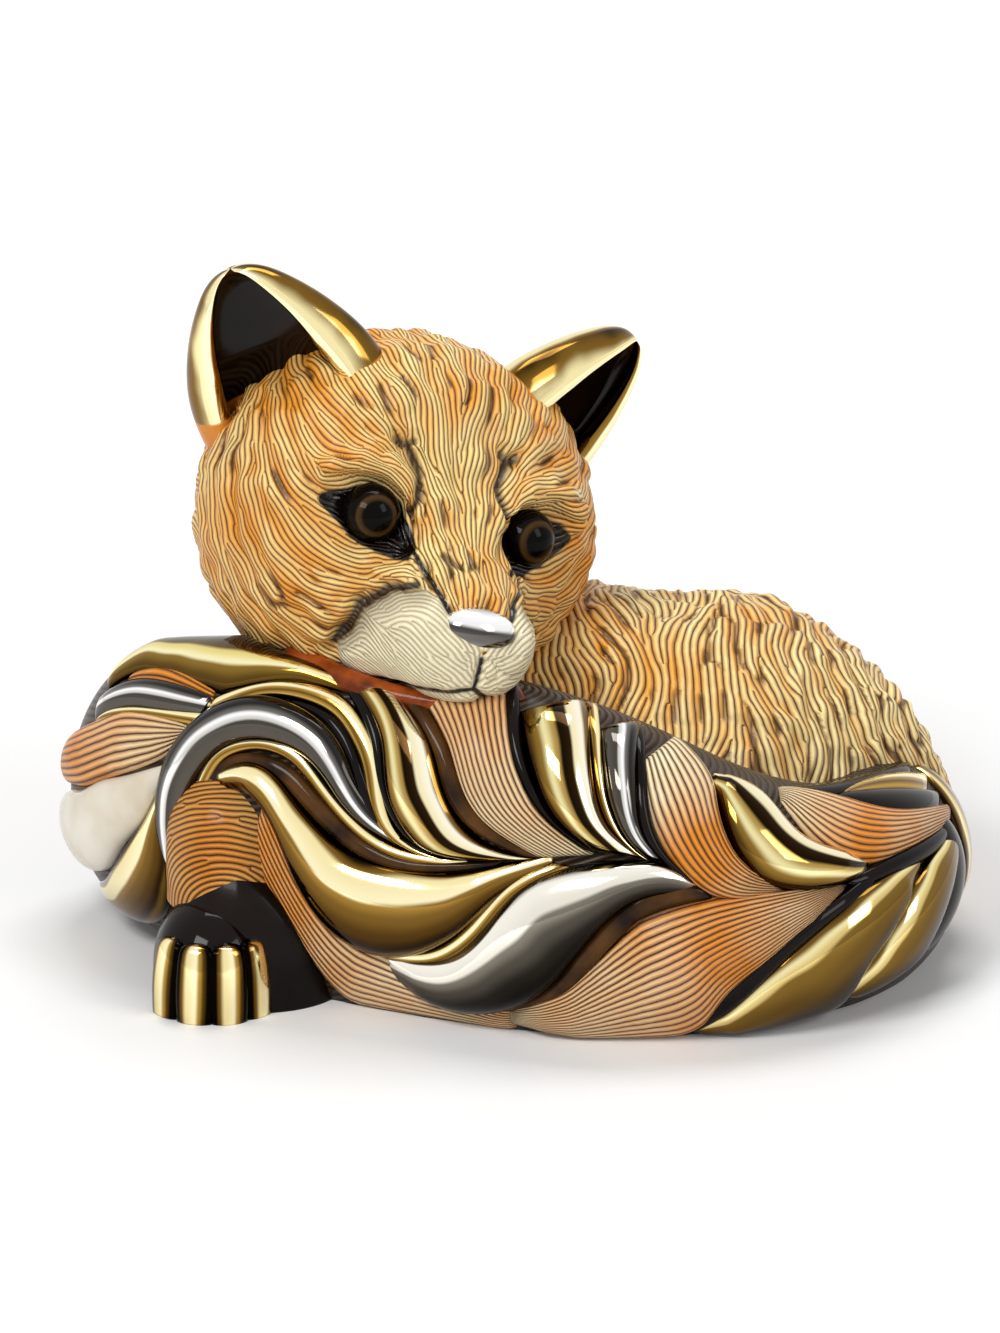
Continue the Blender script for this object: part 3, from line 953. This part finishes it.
# round the left-hand end they are shares of the half length and the height of the drawing
leftLocks = (
    ("tip_gold_top", -35, "goldCrest", 1.9, "tip_gold_top", (0, 0, 0),
     ((-0.12, 0.685), (-0.221, 0.7), (-0.34, 0.715), (-0.47, 0.73), (-0.6, 0.7), (-0.71, 0.62),
      (-0.79, 0.52)),
     ((-0.12, 0.655), (-0.25, 0.645), (-0.36, 0.592), (-0.45, 0.563), (-0.541, 0.58), (-0.67, 0.565),
      (-0.775, 0.49))),
    ("tip_carved_thin", -35, "carved", 1, None, (-0.9, -0.9, -0.6),
     ((-0.43, 0.566), (-0.51, 0.588), (-0.61, 0.6), (-0.7, 0.56)),
     ((-0.43, 0.545), (-0.52, 0.552), (-0.62, 0.546), (-0.71, 0.52))),
    ("tip_platinum", -35, "platinumArch", 1.6, "tip_platinum", (0, 0, 0),
     ((-0.43, 0.548), (-0.51, 0.556), (-0.61, 0.55), (-0.7, 0.52), (-0.79, 0.45)),
     ((-0.44, 0.498), (-0.5, 0.484), (-0.58, 0.472), (-0.68, 0.45), (-0.781, 0.39))),
    ("tip_gold_thin", -35, "gold", 1.1, None, (0, 0, 0),
     ((-0.44, 0.495), (-0.53, 0.478), (-0.62, 0.466), (-0.71, 0.44), (-0.77, 0.4)),
     ((-0.44, 0.455), (-0.53, 0.452), (-0.63, 0.437), (-0.72, 0.405), (-0.781, 0.37))),
)
# and further round, millimetres across and up the drawing
cornerLocks = (
    ("tip_carved", -60, "carved", 1.8, "tip_carved", (0.8, -0.6, -0.9),
     ((-9.9, 16.1), (-13.1, 16.3), (-20.5, 15.1), (-25.1, 12.4), (-31.6, 8.6), (-38.0, 5.2), (-42.6, 1.2)),
     ((-10.9, 14.8), (-12.2, 12.5), (-16.5, 8.8), (-23.3, 4.8), (-28.8, 2.2), (-35.7, 0.9), (-42.2, 0.0))),
    ("tip_ivory", -60, "ivory", 2.4, "tip_ivory", (0, 0, 0),
     ((-11.6, 10.4), (-12.9, 9.8), (-19.0, 6.2), (-24.2, 3.7), (-29.3, 0.9), (-35.6, -0.9), (-40.6, -5.0)),
     ((-11.8, 9.2), (-13.5, 5.2), (-15.4, 1.7), (-19.6, -2.6), (-24.7, -7.1), (-32.2, -8.6), (-39.6, -6.8))),
    ("tip_gold_low", -60, "goldDeep", 1.9, "tip_gold_low", (0, 0, 0),
     ((-11.3, 9.2), (-13.5, 4.3), (-15.6, 0.9), (-19.8, -3.9), (-25.3, -8.6), (-31.0, -10.8)),
     ((-10.9, 8.6), (-10.9, 2.2), (-10.9, -3.0), (-13.8, -8.6), (-20.7, -12.0), (-28.8, -12.0))),
    ("tip_bronze_reed", -60, "bronze", 1.2, None, (0, 0, 0),
     ((-10.4, 11.2), (-10.6, 4.3), (-10.4, -2.2), (-12.6, -8.2)),
     ((-9.2, 10.8), (-9.0, 4.3), (-8.8, -2.2), (-10.4, -8.6))),
    ("lower_dark_right", 40, "dark", 1.6, "lower_dark_right", (0, 0, 0),
     ((36.8, 4.3), (34.5, -0.9), (30.5, -6.5), (25.3, -11.6)),
     ((40.3, 2.6), (40.3, -3.4), (36.2, -8.6), (30.5, -12.9))),
    ("side_gold", 75, "goldShade", 1.4, "side_gold", (0, 0, 0),
     ((17.2, 2.6), (13.4, -2.8), (12.1, -9.0), (15.0, -16.0)),
     ((18.0, 2.6), (22.4, -2.6), (23.4, -9.0), (16.6, -16.4))),
)


def fromPhoto(places):
    offset = np.array(places) - (photo["middleColumn"], photo["baseRow"])
    return np.round(offset * (photo["pixel"], -photo["pixel"]), 1)


def fromShares(places):
    return np.round(np.array(places) * (drawing["halfLength"], drawing["height"]), 1)


def drawingView(azimuth):
    turn, tilt = math.radians(azimuth), math.radians(drawing["tilt"])
    across = Vector((math.cos(turn), math.sin(turn), 0))
    towards = Vector((math.sin(turn) * math.cos(tilt), -math.cos(turn) * math.cos(tilt), math.sin(tilt)))
    upward = towards.cross(across)
    aim = across * drawing["aim"][0] + upward * drawing["aim"][1]
    return across, upward, aim + towards * drawing["distance"]


def evenCurve(places, count):
    fine = smoothRows(places, 200)
    run = np.concatenate([[0], np.cumsum(np.linalg.norm(np.diff(fine, axis=0), axis=1))])
    at = np.linspace(0, run[-1], count)
    return np.stack([np.interp(at, run, fine[:, 0]), np.interp(at, run, fine[:, 1])], 1)


def lockGround(azimuth, upper, lower):
    # where the drawn lock lands on the tail, as rows from root to tip, and the way out of the tail
    steps, strips = lockLook["steps"], lockLook["strips"]
    across, upward, viewpoint = drawingView(azimuth)
    one, other = evenCurve(upper, steps), evenCurve(lower, steps)
    gap = np.maximum(np.linalg.norm(one - other, axis=1, keepdims=True), lockLook["leastWidth"])
    apart = (one - other) / gap * lockLook["widen"]
    one, other = one + apart, other - apart
    share = np.linspace(0, 1, strips)
    ground = np.full((steps, strips, 3), np.nan)
    for i in range(steps):
        for j in range(strips):
            x, y = one[i] * (1 - share[j]) + other[i] * share[j]
            aim = across * x + upward * y
            hit = tailTree.ray_cast(viewpoint, (aim - viewpoint).normalized())[0]
            if hit is not None:
                ground[i, j] = hit
    ground = ground[~np.isnan(ground).any(axis=(1, 2))]
    for _ in range(4):  # takes the facets of the tail mesh out of the ground
        inner = (ground[:-2, 1:-1] + ground[2:, 1:-1] + ground[1:-1, :-2] + ground[1:-1, 2:]) / 4
        ground[1:-1, 1:-1] = (ground[1:-1, 1:-1] + inner) / 2
    normal = np.cross(np.gradient(ground, axis=0), np.gradient(ground, axis=1))
    normal /= np.maximum(np.linalg.norm(normal, axis=2, keepdims=True), 1e-9)
    middle = len(ground) // 2, strips // 2
    if normal[middle] @ (np.array(viewpoint) - ground[middle]) < 0:
        normal = -normal
    for _ in range(6):
        normal[1:-1] = (normal[:-2] + 2 * normal[1:-1] + normal[2:]) / 4
    normal /= np.maximum(np.linalg.norm(normal, axis=2, keepdims=True), 1e-9)
    return ground, normal


def lockMesh(name, ground, normal, rise, tones):
    steps, strips = ground.shape[:2]
    t, s = np.linspace(-1, 1, strips), np.linspace(0, 1, steps)
    swell = np.sin(math.pi * s) ** lockLook["plump"]
    bulge = np.sqrt(np.maximum(1 - t ** 2, 0))
    width = np.linalg.norm(ground[:, -1] - ground[:, 0], axis=1)
    lift = np.minimum(rise, lockLook["steep"] * width)[:, None] * swell[:, None] * bulge
    top = ground + normal * lift[..., None]
    bottom = ground - normal * lockLook["sink"]
    points = np.concatenate([top.reshape(-1, 3), bottom.reshape(-1, 3)])
    points[:, 2] = np.maximum(points[:, 2], 0.0)
    quads = gridFaces(steps, strips, closed=False)
    offset = steps * strips
    faces = quads.tolist() + (quads[:, ::-1] + offset).tolist()
    rim = [i * strips for i in range(steps)] + [(steps - 1) * strips + j for j in range(1, strips)]
    rim += [i * strips + strips - 1 for i in range(steps - 2, -1, -1)] + list(range(strips - 2, 0, -1))
    for a, b in zip(rim, rim[1:] + rim[:1]):
        faces.append([a, b, b + offset, a + offset])
    mesh = solidMesh(name, points, faces)
    acrossLock = np.tile(t, steps)
    writeValues(mesh, "lockAcross", np.tile(acrossLock, 2))
    writeValues(mesh, "furLine", np.tile(acrossLock * width.max() / 2 / lockLook["pitch"], 2))
    writeValues(mesh, "glazeTone", np.tile(np.repeat(np.interp(s, (0.0, 0.5, 1.0), tones), strips), 2))
    return mesh


for locks, inDrawing in ((frontLocks, fromPhoto), (leftLocks, fromShares), (cornerLocks, np.array)):
    for name, azimuth, finish, rise, node, tones, upper, lower in locks:
        slotName, material = finishes[finish]
        ground, normal = lockGround(azimuth, inDrawing(upper), inDrawing(lower))
        mesh = lockMesh(name + "Leaf", ground, normal, rise, tones)
        placePiece(mesh, name + "_leaf", [node] if node else [], material)
print("locks laid")


# Stage, light and camera

stageLook = dict(reach=4.0, floorColour="#EDEDED", roughness=0.6, nearGlow=(0.06, 0.05), farGlow=(0.32, 0.5))
worldLook = dict(forShape=0.18, forEye=0.82)


def seenByEye(tree):
    # one for rays from the camera, from reflections and through clear things, nought for the light on shapes
    path = addNode(tree, "ShaderNodeLightPath")
    mirrored = (path.outputs["Is Glossy Ray"], path.outputs["Is Transmission Ray"])
    either = addNode(tree, "ShaderNodeMath", mirrored, operation="MAXIMUM")
    return addNode(tree, "ShaderNodeMath", (path.outputs["Is Camera Ray"], either), operation="MAXIMUM")


def makeFloor():
    # the floor glows more with distance, so that the paper ends as white as in the photograph
    reach = stageLook["reach"]
    corners = [(-reach, -reach, 0), (reach, -reach, 0), (reach, reach, 0), (-reach, reach, 0)]
    mesh = bpy.data.meshes.new("floorSheet")
    mesh.from_pydata(corners, [], [(0, 1, 2, 3)])
    floor = bpy.data.objects.new("floor", mesh)
    scene.collection.objects.link(floor)
    material, tree, surface = startMaterial("paperFloor", {
        "Base Color": stageLook["floorColour"], "Roughness": stageLook["roughness"]})
    place = addNode(tree, "ShaderNodeTexCoord").outputs["Object"]
    away = addNode(tree, "ShaderNodeVectorMath", {0: place}, operation="LENGTH").outputs["Value"]
    near, far = stageLook["nearGlow"], stageLook["farGlow"]
    paper = addNode(tree, "ShaderNodeMapRange", {
        "Value": away, "From Min": near[0], "From Max": far[0], "To Min": near[1], "To Max": far[1]})
    strength = addNode(tree, "ShaderNodeMath", (seenByEye(tree), paper), operation="MULTIPLY")
    glow = addNode(tree, "ShaderNodeEmission", {"Color": "#FFFFFF", "Strength": strength})
    both = addNode(tree, "ShaderNodeAddShader", (surface, glow))
    tree.links.new(both.outputs[0], tree.nodes["Material Output"].inputs["Surface"])
    mesh.materials.append(material)


def makeWorld():
    # the eye and the reflections see white paper, but it lights the shapes only a little
    world = bpy.data.worlds.new("studio")
    scene.world = world
    world.use_nodes = True
    tree = world.node_tree
    strength = addNode(tree, "ShaderNodeMath", (seenByEye(tree), worldLook["forEye"], worldLook["forShape"]),
                       operation="MULTIPLY_ADD")
    tree.links.new(strength.outputs[0], tree.nodes["Background"].inputs["Strength"])
    tree.nodes["Background"].inputs["Color"].default_value = (1, 1, 1, 1)


lamps = (
    dict(name="keyLamp", place=(-0.35, -0.45, 0.60), size=(0.35, 0.25), watts=4.0),
    dict(name="fillLamp", place=(0.55, -0.35, 0.40), size=(0.25, 0.35), watts=1.4),
    dict(name="topLamp", place=(0.05, 0.25, 0.75), size=(0.45, 0.25), watts=2.8))
lampAim = Vector((0, 0, 0.04))

makeFloor()
makeWorld()
for look in lamps:
    lamp = bpy.data.lights.new(look["name"], "AREA")
    lamp.shape = "RECTANGLE"
    lamp.size, lamp.size_y = look["size"]
    lamp.energy = look["watts"]
    holder = bpy.data.objects.new(look["name"], lamp)
    holder.location = look["place"]
    holder.rotation_euler = (lampAim - Vector(look["place"])).to_track_quat("-Z", "Y").to_euler()
    scene.collection.objects.link(holder)

cameraLook = dict(
    scale=0.1264, distance=1200.0, tilt=20.0, aimAcross=-1.3, baseRow=938, height=1333, sensor=36.0,
    clip=(0.05, 20.0))
tilt = math.radians(cameraLook["tilt"])
towards = Vector((0, -math.cos(tilt), math.sin(tilt)))
upward = Vector((0, math.sin(tilt), math.cos(tilt)))
middleHeight = (cameraLook["baseRow"] - cameraLook["height"] / 2) * cameraLook["scale"]
aim = Vector((cameraLook["aimAcross"], 0, 0)) + upward * middleHeight
lens = bpy.data.cameras.new("camera")
lens.sensor_width = cameraLook["sensor"]
lens.lens = cameraLook["distance"] * lens.sensor_width / (cameraLook["height"] * cameraLook["scale"])
lens.clip_start, lens.clip_end = cameraLook["clip"]
camera = bpy.data.objects.new("camera", lens)
camera.location = (aim + towards * cameraLook["distance"]) * mm
camera.rotation_euler = (-towards).to_track_quat("-Z", "Y").to_euler()
scene.collection.objects.link(camera)
scene.camera = camera
print("stage lit")
